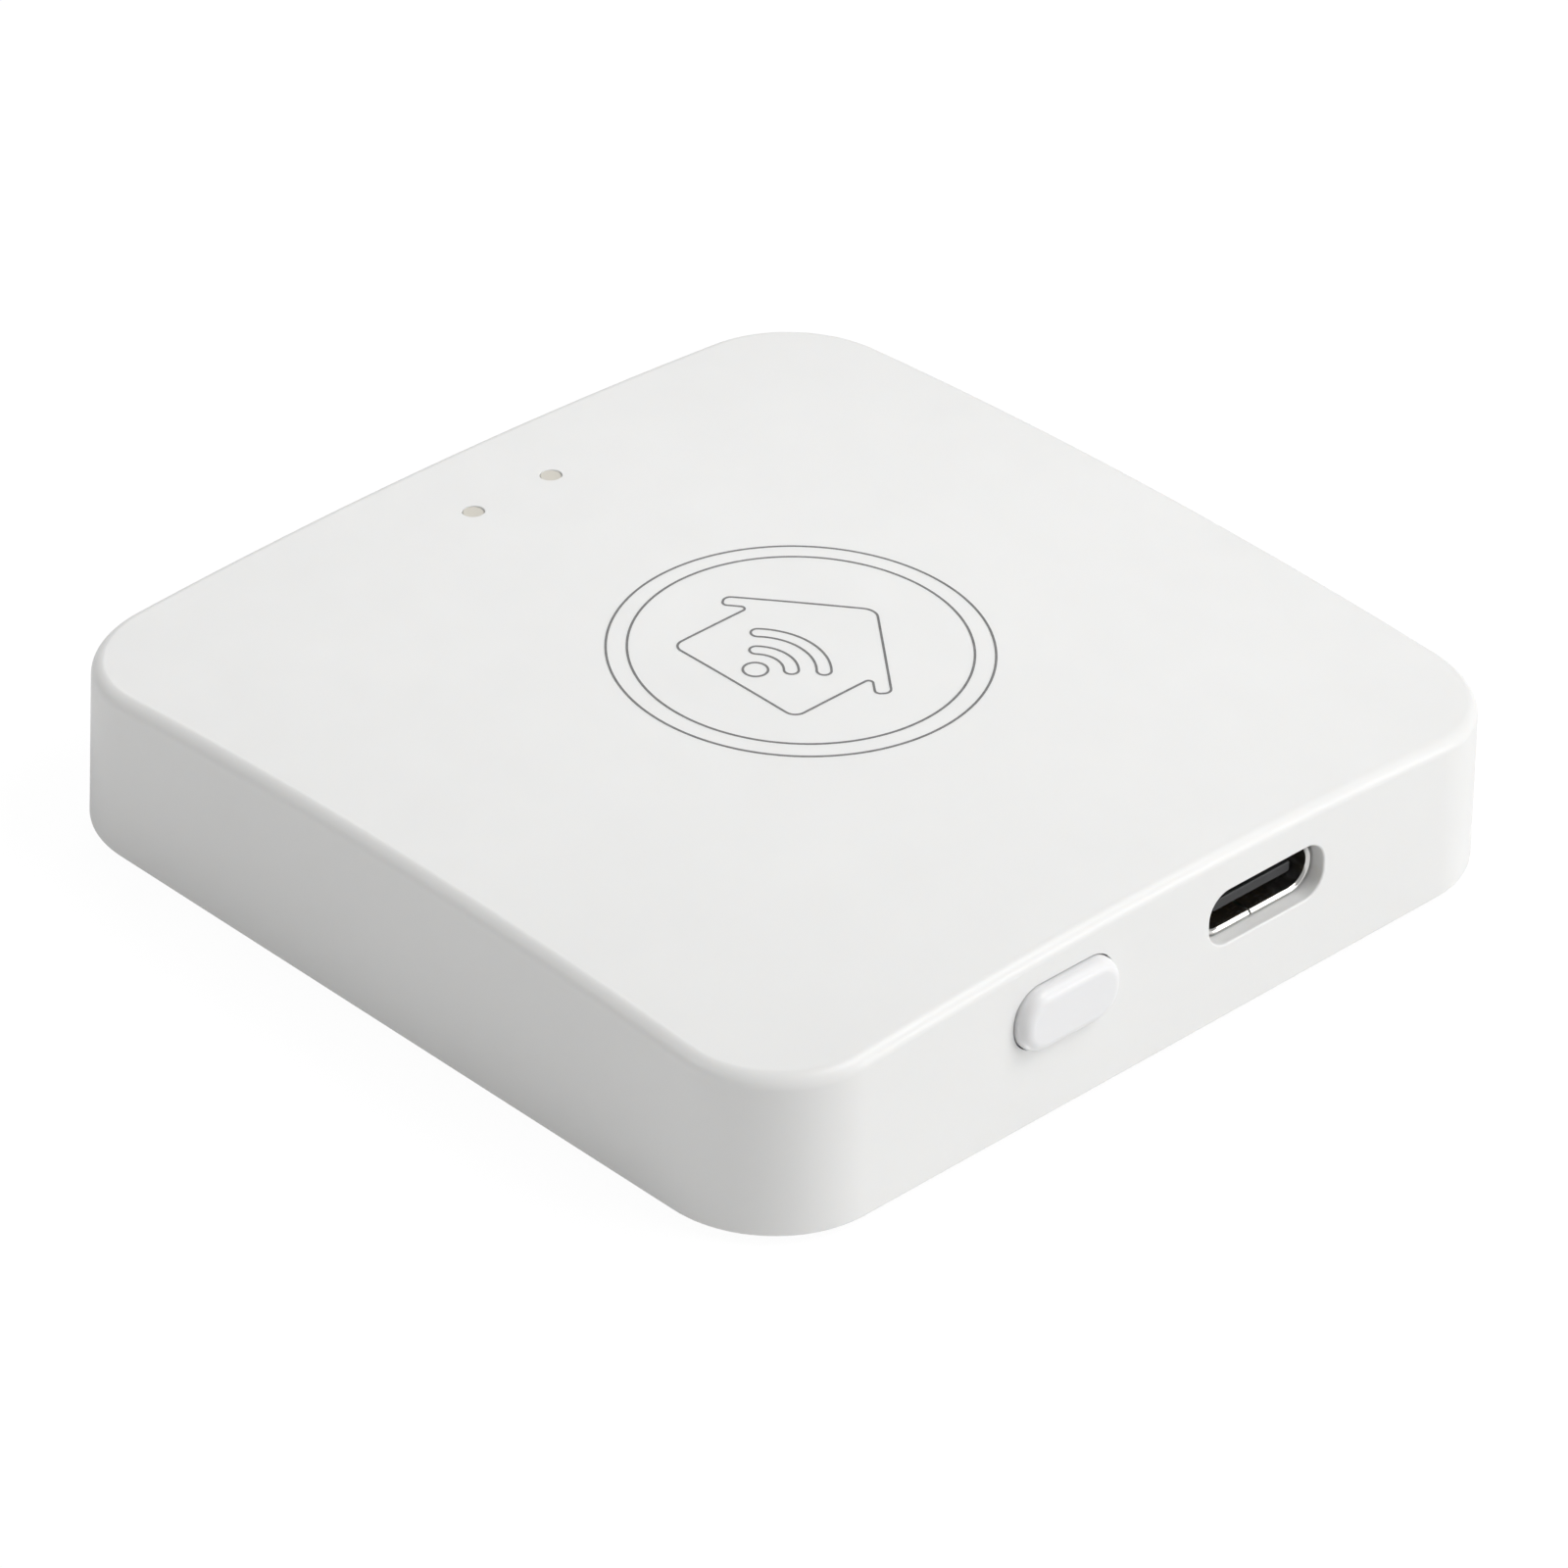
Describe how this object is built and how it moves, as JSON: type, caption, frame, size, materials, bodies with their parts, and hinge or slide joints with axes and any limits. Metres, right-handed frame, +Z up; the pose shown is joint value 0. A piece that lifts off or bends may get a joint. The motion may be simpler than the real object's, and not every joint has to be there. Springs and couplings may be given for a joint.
{
  "type": "smart home hub",
  "caption": "Square white smart home hub with a crowned top, a USB-C power socket, a spring-return side button and two status light pinholes; stands on rubber feet.",
  "frame": {"origin": "centre of the square case on the surface that its rubber feet stand on", "axes": "+Z up; +X out of the wall that holds the USB-C socket and the button; +Y along that wall from the button to the socket, and up for the emblem on the top; the status light pinholes are along the -X edge"},
  "size_m": [0.0607, 0.06, 0.013],
  "materials": {
    "case_plastic": "satin",
    "cover_plastic": "matte",
    "button_plastic": "satin",
    "screw_steel": "satin",
    "foot_rubber": "matte",
    "label_paper": "matte",
    "board_green": "satin",
    "module_board": "satin",
    "shield_metal": "satin",
    "socket_steel": "satin",
    "tongue_plastic": "matte",
    "contact_gold": "polished",
    "trace_gold": "satin",
    "switch_plastic": "matte",
    "switch_steel": "satin",
    "dome_steel": "polished",
    "plunger_plastic": "matte",
    "led_resin": "gloss",
    "baffle_foam": "matte",
    "guide_plastic": "satin",
    "chip_plastic": "matte",
    "inductor_ferrite": "matte",
    "fuse_ceramic": "satin",
    "crystal_can": "satin",
    "capacitor_ceramic": "matte",
    "resistor_ceramic": "matte"
  },
  "bodies": {
    "housing": {"top_shell": "case_plastic", "base_cover": "cover_plastic", "case_screws": "screw_steel", "rubber_feet": "foot_rubber", "rating_label": "label_paper", "main_board": "board_green", "usb_shell": "socket_steel", "usb_tongue": "tongue_plastic", "usb_contacts": "contact_gold", "wifi_board": "module_board", "wifi_shield": "shield_metal", "wifi_antenna": "trace_gold", "mesh_board": "module_board", "mesh_shield": "shield_metal", "mesh_antenna": "trace_gold", "switch_housing": "switch_plastic", "switch_cover": "switch_steel", "switch_dome": "dome_steel", "switch_terminals": "switch_steel", "power_led": "led_resin", "network_led": "led_resin", "led_baffle": "baffle_foam", "light_guide": "guide_plastic", "buck_converter": "chip_plastic", "power_inductor": "inductor_ferrite", "input_fuse": "fuse_ceramic", "surge_diode": "chip_plastic", "flash_memory": "chip_plastic", "reference_crystal": "crystal_can", "ceramic_capacitors": "capacitor_ceramic", "chip_resistors": "resistor_ceramic"},
    "button": {"side_button": "button_plastic"},
    "plunger": {"switch_plunger": "plunger_plastic"}
  },
  "joints": [
    {"name": "button_press", "type": "slide", "parent": "housing", "child": "button", "axis": [-1, 0, 0], "range_m": [0, 0.00025], "stiffness_N_per_m": 6000, "springref_m": -0.00008, "deforming": ["switch_dome"]},
    {"name": "plunger_press", "type": "slide", "parent": "housing", "child": "plunger", "axis": [-1, 0, 0], "range_m": [0, 0.00025]}
  ],
  "couplings": [
    {"joint": "plunger_press", "follows": "button_press", "ratio": 1}
  ]
}
